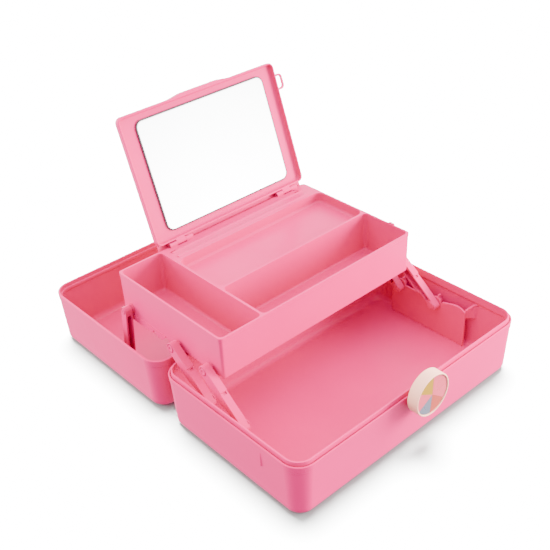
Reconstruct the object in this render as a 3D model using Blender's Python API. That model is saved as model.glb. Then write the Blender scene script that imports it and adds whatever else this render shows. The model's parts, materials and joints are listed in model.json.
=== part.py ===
"""Clamshell cosmetics case: two deep halves on a rear hinge, a cantilever tray that
lifts out on swing arms, and a flip-up mirror on the tray.

World frame in metres: X runs along the hinge, -Y is the latch side, +Z is up. The case
lies fully open: base at -Y, lid at +Y, both standing on z = 0. The driving dimensions
below are in millimetres, and everything else follows from them.
"""
import math

import bmesh
import bpy
from mathutils import Matrix, Vector

MM = 0.001
GAP = 0.3                       # clearance between touching pieces
ROUND = 20                      # sides of a pin or of a hole

# Half shells
LENGTH = 330.0
CENTRE_Y = 6.5                  # from the hinge axis to the middle of the open case
HALF_DEPTH = 204.5
RIM_Z = 66.3
HINGE_Z = 66.6
HINGE_GAP = 5.0                 # from the hinge axis to each half's rear wall
CORNER_R = 20.6
FLOOR_R = 15.0
DRAFT = 4.0                     # how much smaller each side is at the floor
BASE_WALL = 3.0
LID_WALL = 2.6
TONGUE_INSET = 3.0
TONGUE_W = 2.0
TONGUE_H = 4.0
CORNER_STEPS = 7
FLOOR_STEPS = 5

# Main hinge
KNUCKLE_R = 3.6
KNUCKLE_W = 14.0
HINGE_X = 96.0
HINGE_PIN_R = 1.5

# Swing arms and tray
ARM_Y = 52.0                    # from an arm's base pivot to its tray pivot, at rest
ARM_Z = 40.0
ARM_SPACING = 53.0
FRONT_PIVOT_Y = -109.0
PIVOT_Z = 46.0
ARM_X0 = 139.4
ARM_X1 = 148.2
LINK_R = 4.5
ARM_TOP = 5.6                   # from the line of the pivots to the web, at the tray's end
ARM_DEEP = 7.0                  # from the line of the pivots to the open side
ARM_FOOT = 3.6                  # half height at the base pivot, where the next arm folds past
ARM_STEP = 1.2                  # how much lower the web's lower part is
ARM_STEP_Y = 38.0
ARM_NOSE = 3.5                  # how much further an arm's lower end reaches
ARM_SKIN = 2.0
PIN_R = 2.4
HEAD_R = 4.4
TRAY_DROP = 28.0                # how far the tray sinks when the case closes
TRAY_HALF = 137.8
TRAY_FRONT = -76.0
TRAY_BACK = 96.0
TRAY_Z0 = 79.7
TRAY_Z1 = 129.5
TRAY_WALL = 2.0
TRAY_R = 4.0
DIVIDER_X = -81.0
CROSS_Y = -8.0
SHELF_Z = 117.0                 # floor of the shallow rear compartment
LEDGE_Y = 67.0                  # front edge of the mirror's ledge

# Lid link
LINK_TRAY = (79.5, 91.0)
LINK_LID_Z = 22.0

# Mirror
MIRROR_TILT = 71.0
MIRROR_Y = 95.0
MIRROR_Z = 131.6
MIRROR_X0 = -83.0
MIRROR_X1 = 138.0
MIRROR_H = 150.5
MIRROR_T = 8.4
MIRROR_SKIN = 2.0
GLASS_X0 = -60.6
GLASS_X1 = 118.8
GLASS_S0 = 14.0
GLASS_S1 = 139.0
MIRROR_KNUCKLE_R = 2.6
MIRROR_PIN_R = 1.1
EYE_S = 125.0
EYE_LENGTH = 19.0
EYE_WIDTH = 10.2

# Latch
LATCH_Z = 68.0
LATCH_R = 24.0
LATCH_BACK = -213.8
LATCH_FRONT = -226.4
LATCH_RECESS_R = 22.2
LATCH_RECESS = 2.2
LATCH_AXIS = (-219.5, 52.0)
LUG_X0 = 9.0
LUG_X1 = 12.6
LUG_R = 2.5
LATCH_SEAT = 17.5               # half width of the shallow seat in the front wall

# Carry handle, folded into the lid's outer face
HANDLE_HALF = 62.0
HANDLE_AXIS = (127.0, 6.6)
HANDLE_REACH = 40.0
HANDLE_BAR = 12.0
RECESS_DEPTH = 12.6

ARM_LEN = math.hypot(ARM_Y, ARM_Z)
ARM_ANGLE = math.atan2(ARM_Z, ARM_Y)
ARM_END_Z = ARM_Z - TRAY_DROP
ARM_END_ANGLE = math.pi - math.asin(ARM_END_Z / ARM_LEN)
TRAY_SHIFT = ARM_Y - ARM_LEN * math.cos(ARM_END_ANGLE)
BASE_PIVOTS = {"front": FRONT_PIVOT_Y, "rear": FRONT_PIVOT_Y + ARM_SPACING}
SIDES = {"left": -1.0, "right": 1.0}


def link_pivot_y():
    """The lid pivot is as far from the tray pin's place when open as when closed."""
    opened = Vector(LINK_TRAY)
    closed = Vector((TRAY_SHIFT - opened.x, 2 * HINGE_Z - opened.y + TRAY_DROP))
    middle = (opened + closed) / 2
    chord = opened - closed
    return middle.x + chord.y * (middle.y - LINK_LID_Z) / chord.x


LINK_LID = (link_pivot_y(), LINK_LID_Z)


# ---------------------------------------------------------------- materials

def plastic(name, colour, roughness):
    material = bpy.data.materials.new(name)
    material.use_nodes = True
    shader = material.node_tree.nodes["Principled BSDF"]
    shader.inputs["Base Color"].default_value = (*colour, 1.0)
    shader.inputs["Roughness"].default_value = roughness
    return material


def metal(name, colour, roughness):
    material = plastic(name, colour, roughness)
    material.node_tree.nodes["Principled BSDF"].inputs["Metallic"].default_value = 1.0
    return material


def make_materials():
    return {
        "pink": plastic("case_pink", (0.93, 0.32, 0.47), 0.35),
        "cream": plastic("latch_cream", (0.90, 0.78, 0.70), 0.4),
        "inlay": plastic("latch_inlay_print", (0.85, 0.45, 0.40), 0.3),
        "mirror": metal("mirror_silver", (0.92, 0.93, 0.94), 0.02),
        "steel": metal("pin_steel", (0.6, 0.6, 0.62), 0.3),
    }


# ---------------------------------------------------------------- mesh helpers

def arc(cy, cz, radius, start, end, steps):
    """Points of an arc in the YZ plane, angles in degrees from +Y towards +Z."""
    points = []
    for i in range(steps + 1):
        a = math.radians(start + (end - start) * i / steps)
        points.append((cy + radius * math.cos(a), cz + radius * math.sin(a)))
    return points


def rounded_rectangle(x0, x1, y0, y1, radius, steps):
    """Corner-rounded rectangle in the XY plane, counter-clockwise."""
    radius = max(radius, 0.5)
    centres = [(x1 - radius, y1 - radius, 0), (x0 + radius, y1 - radius, 90),
               (x0 + radius, y0 + radius, 180), (x1 - radius, y0 + radius, 270)]
    points = []
    for cx, cy, start in centres:
        points += arc(cx, cy, radius, start, start + 90, steps)
    return points


def finish_mesh(bm, name, material=None):
    """Turn a bmesh in millimetres into a named object in metres."""
    bmesh.ops.recalc_face_normals(bm, faces=bm.faces)
    bmesh.ops.scale(bm, vec=(MM, MM, MM), verts=bm.verts)
    mesh = bpy.data.meshes.new(name)
    bm.to_mesh(mesh)
    bm.free()
    obj = bpy.data.objects.new(name, mesh)
    bpy.context.scene.collection.objects.link(obj)
    if material:
        mesh.materials.append(material)
    mesh.shade_smooth()
    mesh.set_sharp_from_angle(angle=math.radians(35))
    return obj


def add_slab(bm, points, direction):
    """Extrude one flat outline along a direction."""
    face = bm.faces.new([bm.verts.new(p) for p in points])
    moved = bmesh.ops.extrude_face_region(bm, geom=[face])["geom"]
    verts = [v for v in moved if isinstance(v, bmesh.types.BMVert)]
    bmesh.ops.translate(bm, vec=direction, verts=verts)


def add_prism(bm, outline, x0, x1):
    """Extrude a YZ outline along X."""
    add_slab(bm, [(x0, y, z) for y, z in outline], (x1 - x0, 0, 0))


def add_box(bm, x0, x1, y0, y1, z0, z1):
    add_prism(bm, [(y0, z0), (y1, z0), (y1, z1), (y0, z1)], x0, x1)


def add_cylinder(bm, y, z, radius, x0, x1, sides=ROUND):
    """Round bar along X."""
    add_prism(bm, arc(y, z, radius, 0, 360 - 360 / sides, sides - 1), x0, x1)


def add_disc(bm, x, z, radius, y0, y1, sides=48):
    """Round plate along Y."""
    points = [(x + radius * math.cos(2 * math.pi * i / sides),
               z + radius * math.sin(2 * math.pi * i / sides)) for i in range(sides)]
    add_plate(bm, points, y0, y1)


def add_plate(bm, outline, y0, y1):
    """Extrude an XZ outline along Y."""
    add_slab(bm, [(x, y0, z) for x, z in outline], (0, y1 - y0, 0))


def add_loft(bm, rings):
    """Skin closed rings of equal length and cap the first and the last."""
    rows = [[bm.verts.new(p) for p in ring] for ring in rings]
    count = len(rows[0])
    for low, high in zip(rows, rows[1:]):
        for i in range(count):
            j = (i + 1) % count
            bm.faces.new((low[i], low[j], high[j], high[i]))
    bm.faces.new(rows[0])
    bm.faces.new(rows[-1])


def boolean(obj, bm, operation, name):
    """Join or cut a helper solid, which stays as a hidden wire guide."""
    guide = finish_mesh(bm, name)
    guide.hide_render = True
    guide.display_type = "WIRE"
    modifier = obj.modifiers.new(name, "BOOLEAN")
    modifier.operation = operation
    modifier.object = guide
    modifier.solver = "EXACT"
    return guide


def axis(name, y, z, angle=0.0):
    """Empty on a joint's axis."""
    empty = bpy.data.objects.new(name, None)
    empty.empty_display_size = 0.01
    empty.location = (0.0, y * MM, z * MM)
    empty.rotation_euler = (angle, 0.0, 0.0)
    bpy.context.scene.collection.objects.link(empty)
    return empty


def hang(empty, *objects):
    """Parent pieces modelled in world coordinates to a joint's empty."""
    for obj in objects:
        obj.parent = empty
        obj.location = -empty.location


def hang_local(empty, *objects):
    """Parent pieces modelled in the joint's own coordinates."""
    for obj in objects:
        obj.parent = empty


# ---------------------------------------------------------------- half shells

def draft_at(z):
    return DRAFT * (1.0 - z / RIM_Z)


def half_rings(y0, y1, wall, rim):
    """Rings of a drafted box with a rounded floor edge: outside up, rim, inside down."""
    half = LENGTH / 2

    def ring(inset, z):
        points = rounded_rectangle(-half + inset, half - inset, y0 + inset, y1 - inset,
                                   CORNER_R - inset, CORNER_STEPS)
        return [(x, y, z) for x, y in points]

    rings = []
    for i in range(FLOOR_STEPS + 1):
        a = math.pi / 2 * i / FLOOR_STEPS
        z = FLOOR_R * (1 - math.cos(a))
        rings.append(ring(draft_at(z) + FLOOR_R * (1 - math.sin(a)), z))
    rings.append(ring(0.0, RIM_Z))
    rings += [ring(inset, z) for inset, z in rim]
    inner_r = FLOOR_R - wall
    for i in range(FLOOR_STEPS + 1):
        a = math.pi / 2 * (1 - i / FLOOR_STEPS)
        z = wall + inner_r * (1 - math.cos(a))
        rings.append(ring(draft_at(z) + wall + inner_r * (1 - math.sin(a)), z))
    return rings


def knuckle_outline(side):
    """Knuckle and its leaf, on the base side (-1) or the lid side (+1)."""
    leaf = HINGE_GAP + 1.5
    points = [(-leaf, HINGE_Z - KNUCKLE_R)]
    points += arc(0.0, HINGE_Z, KNUCKLE_R, -90, 180, 12)
    points.append((-leaf, RIM_Z - GAP))
    return [(-side * y, z) for y, z in points]


def knuckle_spans(centre, outer):
    """X spans of the outer pair of knuckles, or of the one between them."""
    half = KNUCKLE_W / 2
    if not outer:
        return [(centre - half, centre + half)]
    return [(centre - 3 * half - GAP, centre - half - GAP),
            (centre + half + GAP, centre + 3 * half + GAP)]


def add_knuckles(bm, side):
    for centre in (-HINGE_X, HINGE_X):
        for x0, x1 in knuckle_spans(centre, side < 0):
            add_prism(bm, knuckle_outline(side), x0, x1)


def pin_bore(bm, y, z, radius, half_span, centres):
    for centre in centres:
        add_cylinder(bm, y, z, radius + GAP, centre - half_span, centre + half_span)


def end_wall(wall, z):
    """Inner face of an end wall at a height."""
    return LENGTH / 2 - draft_at(z) - wall


def add_end_details(bm, side):
    """Stand-off plate that carries the arm pivots, and the ribs behind it."""
    plate_x = ARM_X1 + 0.8
    outline = [(-150.0, BASE_WALL), (-43.0, BASE_WALL), (-43.0, PIVOT_Z - 2.0)]
    for y in sorted(BASE_PIVOTS.values(), reverse=True):
        outline += arc(y, PIVOT_Z, 6.4, 0, 180, 8)
    outline += [(-121.0, 45.0), (-139.0, 56.0), (-150.0, 53.0)]
    add_prism(bm, outline, side * plate_x, side * (plate_x + 2.4))
    low, high = 20.0, 41.0
    foot = end_wall(BASE_WALL, low) + 1.2
    head = end_wall(BASE_WALL, high) + 1.2
    rib = [(side * (plate_x + 1.2), low), (side * foot, low), (side * head, high),
           (side * (plate_x + 1.2), high)]
    for y in (-140.0, -84.0, -45.2):
        add_plate(bm, rib, y, y + 2.0)
    inner, outer = plate_x + 1.2, end_wall(BASE_WALL, 50.0) + 1.0
    gusset = [(inner, -149.5, 51.5), (outer, -159.5, 62.0), (outer, -159.5, 41.0),
              (inner, -149.5, 42.0)]
    add_slab(bm, [(side * x, y, z) for x, y, z in gusset], (side * 1.5, 1.3, 0.0))


def make_base(materials):
    y0, y1 = -HINGE_GAP - HALF_DEPTH, -HINGE_GAP
    inner = TONGUE_INSET + TONGUE_W
    rim = [(TONGUE_INSET, RIM_Z), (TONGUE_INSET + 0.15, RIM_Z + TONGUE_H),
           (inner - 0.15, RIM_Z + TONGUE_H), (inner, RIM_Z - 4.0),
           (draft_at(RIM_Z - 8.0) + BASE_WALL, RIM_Z - 8.0)]
    bm = bmesh.new()
    add_loft(bm, half_rings(y0, y1, BASE_WALL, rim))
    base = finish_mesh(bm, "base_shell", materials["pink"])
    bm = bmesh.new()
    add_knuckles(bm, -1)
    for side in SIDES.values():
        add_end_details(bm, side)
    lug = [(y0 + 2.0, LATCH_AXIS[1] - LUG_R)]
    lug += arc(*LATCH_AXIS, LUG_R, 270, 90, 10)
    lug += [(y0 + 1.5, LATCH_AXIS[1] + LUG_R)]
    for side in SIDES.values():
        add_prism(bm, lug, side * LUG_X0, side * LUG_X1)
    boolean(base, bm, "UNION", "base_knuckles_and_bosses")
    bm = bmesh.new()
    pin_bore(bm, 0.0, HINGE_Z, HINGE_PIN_R, 2 * KNUCKLE_W, (-HINGE_X, HINGE_X))
    for side in SIDES.values():
        for y in BASE_PIVOTS.values():
            add_cylinder(bm, y, PIVOT_Z, PIN_R + GAP, side * (ARM_X1 - 1.0), side * 157.5)
    add_cylinder(bm, *LATCH_AXIS, 1.2 + GAP, -20.0, 20.0)
    boolean(base, bm, "DIFFERENCE", "base_bores")
    bm = bmesh.new()
    add_box(bm, -LATCH_SEAT, LATCH_SEAT, y0 - 3.0, y0 + 1.8, RIM_Z - 9.3, RIM_Z + 1.0)
    boolean(base, bm, "DIFFERENCE", "latch_seat")
    return base


def make_lid(materials):
    y0, y1 = HINGE_GAP, HINGE_GAP + HALF_DEPTH
    rim = [(LID_WALL, RIM_Z)]
    bm = bmesh.new()
    add_loft(bm, half_rings(y0, y1, LID_WALL, rim))
    lid = finish_mesh(bm, "lid_shell", materials["pink"])
    bm = bmesh.new()
    add_knuckles(bm, 1)
    wall = end_wall(LID_WALL, LINK_LID[1]) + 1.2
    for side in SIDES.values():
        add_cylinder(bm, *LINK_LID, 5.6, side * (ARM_X1 + 0.8), side * wall)
    keeper_z = 2 * HINGE_Z - 81.0
    keeper = [(y1 - 1.5, keeper_z + 5.0), (y1 - 1.5, keeper_z), (y1 + 3.9, keeper_z),
              (y1 + 3.9, keeper_z + 3.0)]
    add_prism(bm, keeper, -9.5, 9.5)
    box = handle_recess(LID_WALL)
    add_box(bm, *box, 1.0, RECESS_DEPTH + 2.4)
    boolean(lid, bm, "UNION", "lid_knuckles_and_bosses")
    bm = bmesh.new()
    pin_bore(bm, 0.0, HINGE_Z, HINGE_PIN_R, 2 * KNUCKLE_W, (-HINGE_X, HINGE_X))
    for side in SIDES.values():
        add_cylinder(bm, *LINK_LID, PIN_R + GAP, side * (ARM_X1 - 1.0), side * 157.0)
    box = handle_recess(0.0)
    add_box(bm, *box, -1.0, RECESS_DEPTH)
    boolean(lid, bm, "DIFFERENCE", "lid_bores_and_recess")
    bm = bmesh.new()
    add_cylinder(bm, *HANDLE_AXIS, 1.8 + GAP, -HANDLE_HALF - 4.6, HANDLE_HALF + 4.6)
    boolean(lid, bm, "DIFFERENCE", "lid_handle_bore")
    return lid


# ---------------------------------------------------------------- hinge pins

def make_pin(name, material, y, z, radius, x0, x1, head=None):
    """Plain pin along X, with an optional head (radius, start, end)."""
    bm = bmesh.new()
    add_cylinder(bm, y, z, radius, x0, x1)
    pin = finish_mesh(bm, name, material)
    if head:
        bm = bmesh.new()
        head_r, h0, h1 = head
        add_cylinder(bm, y, z, head_r, h0, h1)
        boolean(pin, bm, "UNION", name + "_head")
    return pin


def make_hinge_pins(materials):
    reach = KNUCKLE_W * 1.5 + GAP
    for word, side in SIDES.items():
        centre = side * HINGE_X
        make_pin("hinge_pin_" + word, materials["steel"], 0.0, HINGE_Z, HINGE_PIN_R,
                 centre - side * (reach + 0.4), centre + side * (reach + 1.2),
                 (2.6, centre + side * (reach + 0.4), centre + side * (reach + 1.6)))


# ---------------------------------------------------------------- swing arms

def link_outlines(length):
    """Round-ended link along +Y from the origin and its channel, open on +Z."""
    bar = arc(0.0, 0, LINK_R, 90, 270, 10) + arc(length, 0, LINK_R, -90, 90, 10)
    low, high = ARM_SKIN - LINK_R, LINK_R + 1
    near, far = HEAD_R + 2.5, length - HEAD_R - 2.5
    return bar, [(near, low), (far, low), (far, high), (near, high)]


def arm_outlines():
    """Arm along +Y with a slim foot and a deeper upper part, and its channel's outline."""
    step_z = ARM_TOP - ARM_STEP
    radius = (ARM_TOP + ARM_DEEP) / 2
    bar = arc(-ARM_NOSE, 0, ARM_FOOT, 90, 270, 10)
    bar += [(20.0, -ARM_FOOT), (27.0, -ARM_DEEP)]
    bar += arc(ARM_LEN, ARM_TOP - radius, radius, -90, 90, 10)
    bar += [(ARM_STEP_Y, ARM_TOP), (ARM_STEP_Y, step_z), (8.0, step_z)]
    low, high = ARM_SKIN - ARM_DEEP, step_z - ARM_SKIN
    near, far = HEAD_R + 2.5, ARM_LEN - HEAD_R - 2.5
    return bar, [(near, ARM_SKIN - ARM_FOOT), (20.0, ARM_SKIN - ARM_FOOT), (27.0, low),
                 (far, low), (far, high), (near, high)]


def make_bar(name, material, outlines, length, side, start):
    """Bar in its own coordinates, pivots at the origin and at its length, channel from X start."""
    outline, channel = outlines
    bm = bmesh.new()
    add_prism(bm, outline, side * ARM_X0, side * ARM_X1)
    bar = finish_mesh(bm, name, material)
    bm = bmesh.new()
    for y in (0.0, length):
        add_cylinder(bm, y, 0.0, PIN_R + GAP, side * (ARM_X0 - 2), side * (ARM_X1 + 2))
    add_prism(bm, channel, side * start, side * (ARM_X1 - ARM_SKIN))
    return bar, boolean(bar, bm, "DIFFERENCE", name + "_channel")


def make_arms(materials):
    inner = ARM_X0 - GAP
    for row, pivot_y in BASE_PIVOTS.items():
        for word, side in SIDES.items():
            tag = row + "_" + word
            empty = axis("axis_" + tag, pivot_y, PIVOT_Z, ARM_ANGLE)
            hang_local(empty, *make_bar("arm_" + tag, materials["pink"], arm_outlines(),
                                        ARM_LEN, side, ARM_X0 - 1.0))
            make_pin("base_pin_" + tag, materials["pink"], pivot_y, PIVOT_Z, PIN_R,
                     side * (inner - 0.5), side * 157.2,
                     (HEAD_R, side * (inner - 1.0), side * inner))


def make_tray_rivets(materials):
    pins = []
    inside = TRAY_HALF - TRAY_WALL - GAP
    for row, pivot_y in BASE_PIVOTS.items():
        for word, side in SIDES.items():
            name = "tray_rivet_" + row + "_" + word
            y, z = pivot_y + ARM_Y, PIVOT_Z + ARM_Z
            pins.append(make_pin(name, materials["pink"], y, z, PIN_R,
                                 side * (inside - 0.6), side * (ARM_X1 + 1.0),
                                 (HEAD_R, side * (ARM_X1 + GAP), side * (ARM_X1 + 2.0))))
    return pins


def make_links(materials):
    opened = Vector(LINK_TRAY) - Vector(LINK_LID)
    angle = math.atan2(opened.y, opened.x)
    for word, side in SIDES.items():
        empty = axis("axis_link_" + word, *LINK_LID, angle)
        bar, channel = make_bar("lid_link_" + word, materials["pink"],
                                link_outlines(opened.length), opened.length, side,
                                ARM_X0 + ARM_SKIN)
        pin = make_pin("link_tray_pin_" + word, materials["pink"], opened.length, 0.0, PIN_R,
                       side * (ARM_X0 + 0.1), side * (ARM_X1 + 1.0),
                       (HEAD_R, side * (ARM_X1 + GAP), side * (ARM_X1 + 2.0)))
        guide = bpy.data.objects[pin.name + "_head"]
        hang_local(empty, bar, channel, pin, guide)
        make_pin("link_lid_pin_" + word, materials["pink"], *LINK_LID, PIN_R,
                 side * (ARM_X0 - 0.8), side * 156.7,
                 (HEAD_R, side * (ARM_X0 - 1.3), side * (ARM_X0 - GAP)))


# ---------------------------------------------------------------- tray

def tray_ring(inset, z, x0, x1, y0, y1, radius):
    points = rounded_rectangle(x0 + inset, x1 - inset, y0 + inset, y1 - inset,
                               radius - inset, 4)
    return [(x, y, z) for x, y in points]


def add_pocket(bm, x0, x1, y0, y1, z0, z1, radius=3.0):
    """Compartment cutter with rounded upright corners."""
    rings = [tray_ring(0.0, z, x0, x1, y0, y1, radius) for z in (z0, z1)]
    add_loft(bm, rings)


def make_tray(materials):
    half, wall = TRAY_HALF, TRAY_WALL
    bm = bmesh.new()
    rings = [tray_ring(1.2, TRAY_Z0, -half, half, TRAY_FRONT, TRAY_BACK, TRAY_R),
             tray_ring(0.6, TRAY_Z0 + 1.2, -half, half, TRAY_FRONT, TRAY_BACK, TRAY_R),
             tray_ring(0.0, TRAY_Z1, -half, half, TRAY_FRONT, TRAY_BACK, TRAY_R)]
    add_loft(bm, rings)
    tray = finish_mesh(bm, "tray", materials["pink"])

    bm = bmesh.new()
    skirt = [(30.0, TRAY_Z0 + 3.0), (38.0, 76.0), (52.0, 73.5), (84.0, 73.5), (91.0, 76.0),
             (94.0, TRAY_Z0 + 3.0)]
    for side in SIDES.values():
        add_prism(bm, skirt, side * (half - wall), side * (half - 0.3))
    add_box(bm, half - 1.0, half + 1.2, -52.0, -45.0, TRAY_Z1 - 5.0, TRAY_Z1 + 1.2)
    for x0, x1 in mirror_spans(False):
        add_prism(bm, mirror_lug(), x0, x1)
    boolean(tray, bm, "UNION", "tray_skirt_and_lugs")

    bm = bmesh.new()
    top = TRAY_Z1 + 5.0
    floor = TRAY_Z0 + wall
    add_pocket(bm, -half + wall, DIVIDER_X - wall / 2, TRAY_FRONT + wall, TRAY_BACK - wall,
               floor, top)
    add_pocket(bm, DIVIDER_X + wall / 2, half - wall, TRAY_FRONT + wall, CROSS_Y - wall / 2,
               floor, top)
    add_pocket(bm, DIVIDER_X + wall / 2, half - wall, CROSS_Y + wall / 2, LEDGE_Y,
               SHELF_Z, top)
    underside = [(CROSS_Y + wall, TRAY_Z0 - 5.0), (TRAY_BACK - wall, TRAY_Z0 - 5.0),
                 (TRAY_BACK - wall, TRAY_Z1 - wall), (LEDGE_Y + wall, TRAY_Z1 - wall),
                 (LEDGE_Y + wall, SHELF_Z - wall), (CROSS_Y + wall, SHELF_Z - wall)]
    add_prism(bm, underside, DIVIDER_X + wall, half - wall)
    notch = MIRROR_Z - MIRROR_KNUCKLE_R - 0.4
    for x0, x1 in mirror_spans(True):
        add_box(bm, x0 - GAP, x1 + GAP, MIRROR_Y - 3.2, TRAY_BACK + 1.0, notch, top)
    boolean(tray, bm, "DIFFERENCE", "tray_compartments")
    bm = bmesh.new()
    add_cylinder(bm, MIRROR_Y, MIRROR_Z, MIRROR_PIN_R + GAP, MIRROR_X0, MIRROR_X1)
    for side in SIDES.values():
        for pivot_y in BASE_PIVOTS.values():
            add_cylinder(bm, pivot_y + ARM_Y, PIVOT_Z + ARM_Z, PIN_R + GAP,
                         side * (half - 4.0), side * (half + 2.0))
    boolean(tray, bm, "DIFFERENCE", "tray_bores")

    bm = bmesh.new()
    for side in SIDES.values():
        add_cylinder(bm, *LINK_TRAY, 5.0, side * (half - 1.0), side * (ARM_X0 - GAP))
    boolean(tray, bm, "UNION", "tray_link_bosses")
    empty = axis("axis_tray", BASE_PIVOTS["front"] + ARM_Y, PIVOT_Z + ARM_Z)
    guides = [bpy.data.objects[m.name] for m in tray.modifiers]
    rivets = make_tray_rivets(materials)
    heads = [bpy.data.objects[r.name + "_head"] for r in rivets]
    hang(empty, tray, *guides, *rivets, *heads)


# ---------------------------------------------------------------- mirror

def mirror_spans(of_mirror):
    """X spans of the mirror's knuckles, or of the tray's lugs beside them."""
    spans = []
    for centre in (MIRROR_X0 + 30.0, MIRROR_X1 - 30.0):
        if of_mirror:
            spans.append((centre - 6.0, centre + 6.0))
        else:
            spans += [(centre - 16.0, centre - 6.0 - GAP), (centre + 6.0 + GAP, centre + 16.0)]
    return spans


def mirror_lug():
    """Tray lug that holds the mirror pin."""
    r = MIRROR_KNUCKLE_R
    return ([(MIRROR_Y - r, TRAY_Z1 - 2.0), (TRAY_BACK, TRAY_Z1 - 2.0), (TRAY_BACK, TRAY_Z1)]
            + arc(MIRROR_Y, MIRROR_Z, r, -30, 180, 10))


def frame_ring(inset, n, radius=7.0):
    s0 = MIRROR_KNUCKLE_R + 0.6
    points = rounded_rectangle(MIRROR_X0 + inset, MIRROR_X1 - inset, s0 + inset,
                               MIRROR_H - inset, radius - inset, 6)
    return [(x, s, n) for x, s in points]


def make_mirror(materials):
    """Shallow pan in its own coordinates: hinge on X, height along Y, glass side +Z."""
    bm = bmesh.new()
    back = -MIRROR_T
    rings = [frame_ring(2.2, back), frame_ring(0.7, back + 0.7), frame_ring(0.0, back + 2.2),
             frame_ring(0.0, 0.0), frame_ring(MIRROR_SKIN, 0.0),
             frame_ring(MIRROR_SKIN + 0.4, back + 4.2), frame_ring(MIRROR_SKIN + 2.4, back + 2.2)]
    add_loft(bm, rings)
    frame = finish_mesh(bm, "mirror_frame", materials["pink"])
    bm = bmesh.new()
    r = MIRROR_KNUCKLE_R
    knuckle = arc(0, 0, r, 60, 330, 12)
    knuckle += [(r + 2.0, -3.4), (r + 2.0, -0.6)]
    for x0, x1 in mirror_spans(True):
        add_prism(bm, knuckle, x0, x1)
    boolean(frame, bm, "UNION", "mirror_knuckles")
    bm = bmesh.new()
    eye = EYE_LENGTH / 2
    add_pocket(bm, MIRROR_X1 - 1.0, MIRROR_X1 + EYE_WIDTH, EYE_S - eye, EYE_S + eye,
               -6.4, -4.4, 5.0)
    add_pocket(bm, -5.0, 66.0, MIRROR_H - 1.0, MIRROR_H + 2.2, -7.0, -0.6, 1.5)
    boolean(frame, bm, "UNION", "mirror_eye_and_tab")
    bm = bmesh.new()
    add_pocket(bm, MIRROR_X1 + 1.6, MIRROR_X1 + EYE_WIDTH - 2.2, EYE_S - eye + 2.6,
               EYE_S + eye - 2.6, -9.0, 3.0, 2.6)
    add_cylinder(bm, 0.0, 0.0, MIRROR_PIN_R + GAP, MIRROR_X0, MIRROR_X1)
    boolean(frame, bm, "DIFFERENCE", "mirror_bores")
    bm = bmesh.new()
    glass_n = back + 2.2 + GAP
    rings = [[(x, s, n) for x, s in rounded_rectangle(GLASS_X0, GLASS_X1, GLASS_S0, GLASS_S1,
                                                      8.0, 6)] for n in (glass_n, glass_n + 1.8)]
    add_loft(bm, rings)
    glass = finish_mesh(bm, "mirror_glass", materials["mirror"])
    empty = axis("axis_mirror", MIRROR_Y, MIRROR_Z, math.radians(MIRROR_TILT))
    guides = [bpy.data.objects[m.name] for m in frame.modifiers]
    hang_local(empty, frame, glass, *guides)
    for word, centre in zip(SIDES, (MIRROR_X0 + 30.0, MIRROR_X1 - 30.0)):
        pin = make_pin("mirror_pin_" + word, materials["steel"], 0.0, 0.0, MIRROR_PIN_R,
                       centre - 16.4, centre + 16.4)
        hang_local(empty, pin)


# ---------------------------------------------------------------- latch

def make_latch(materials):
    bm = bmesh.new()
    add_disc(bm, 0.0, LATCH_Z, LATCH_R, LATCH_FRONT, LATCH_BACK)
    latch = finish_mesh(bm, "latch_body", materials["cream"])
    bm = bmesh.new()
    add_disc(bm, 0.0, LATCH_Z, LATCH_RECESS_R, LATCH_FRONT - 3.0, LATCH_FRONT + LATCH_RECESS)
    axis_y, axis_z = LATCH_AXIS
    slot_y = axis_y - LUG_R - 0.6
    for side in SIDES.values():
        outline = [(slot_y, axis_z - 20.0), (LATCH_BACK + 3.0, axis_z - 20.0),
                   (LATCH_BACK + 3.0, axis_z + LUG_R + 0.8), (slot_y, axis_z + LUG_R + 0.8)]
        add_prism(bm, outline, side * (LUG_X0 - GAP), side * (LUG_X1 + GAP))
    add_box(bm, -11.5, 11.5, LATCH_BACK - 4.2, LATCH_BACK + 3.0, 66.0, 83.0)
    boolean(latch, bm, "DIFFERENCE", "latch_recess_and_slots")
    bm = bmesh.new()
    add_cylinder(bm, axis_y, axis_z, 1.2 + GAP, -14.0, 14.0)
    boolean(latch, bm, "DIFFERENCE", "latch_pin_bore")
    bm = bmesh.new()
    front = LATCH_FRONT + 0.7
    add_disc(bm, 0.0, LATCH_Z, LATCH_RECESS_R - GAP, front, LATCH_FRONT + LATCH_RECESS - GAP)
    inlay = finish_mesh(bm, "latch_inlay", materials["inlay"])
    empty = axis("axis_latch", axis_y, axis_z)
    guides = [bpy.data.objects[m.name] for m in latch.modifiers]
    hang(empty, latch, inlay, *guides)
    make_pin("latch_pin", materials["steel"], axis_y, axis_z, 1.2, -13.4, 13.4)


# ---------------------------------------------------------------- carry handle

def handle_recess(margin):
    """X and Y limits of the recess in the lid's outer face, grown by a margin."""
    y0 = HANDLE_AXIS[0] - HANDLE_REACH - 6.0
    y1 = HANDLE_AXIS[0] + 7.0
    half = HANDLE_HALF + 1.0
    return (-half - margin, half + margin, y0 - margin, y1 + margin)


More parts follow.
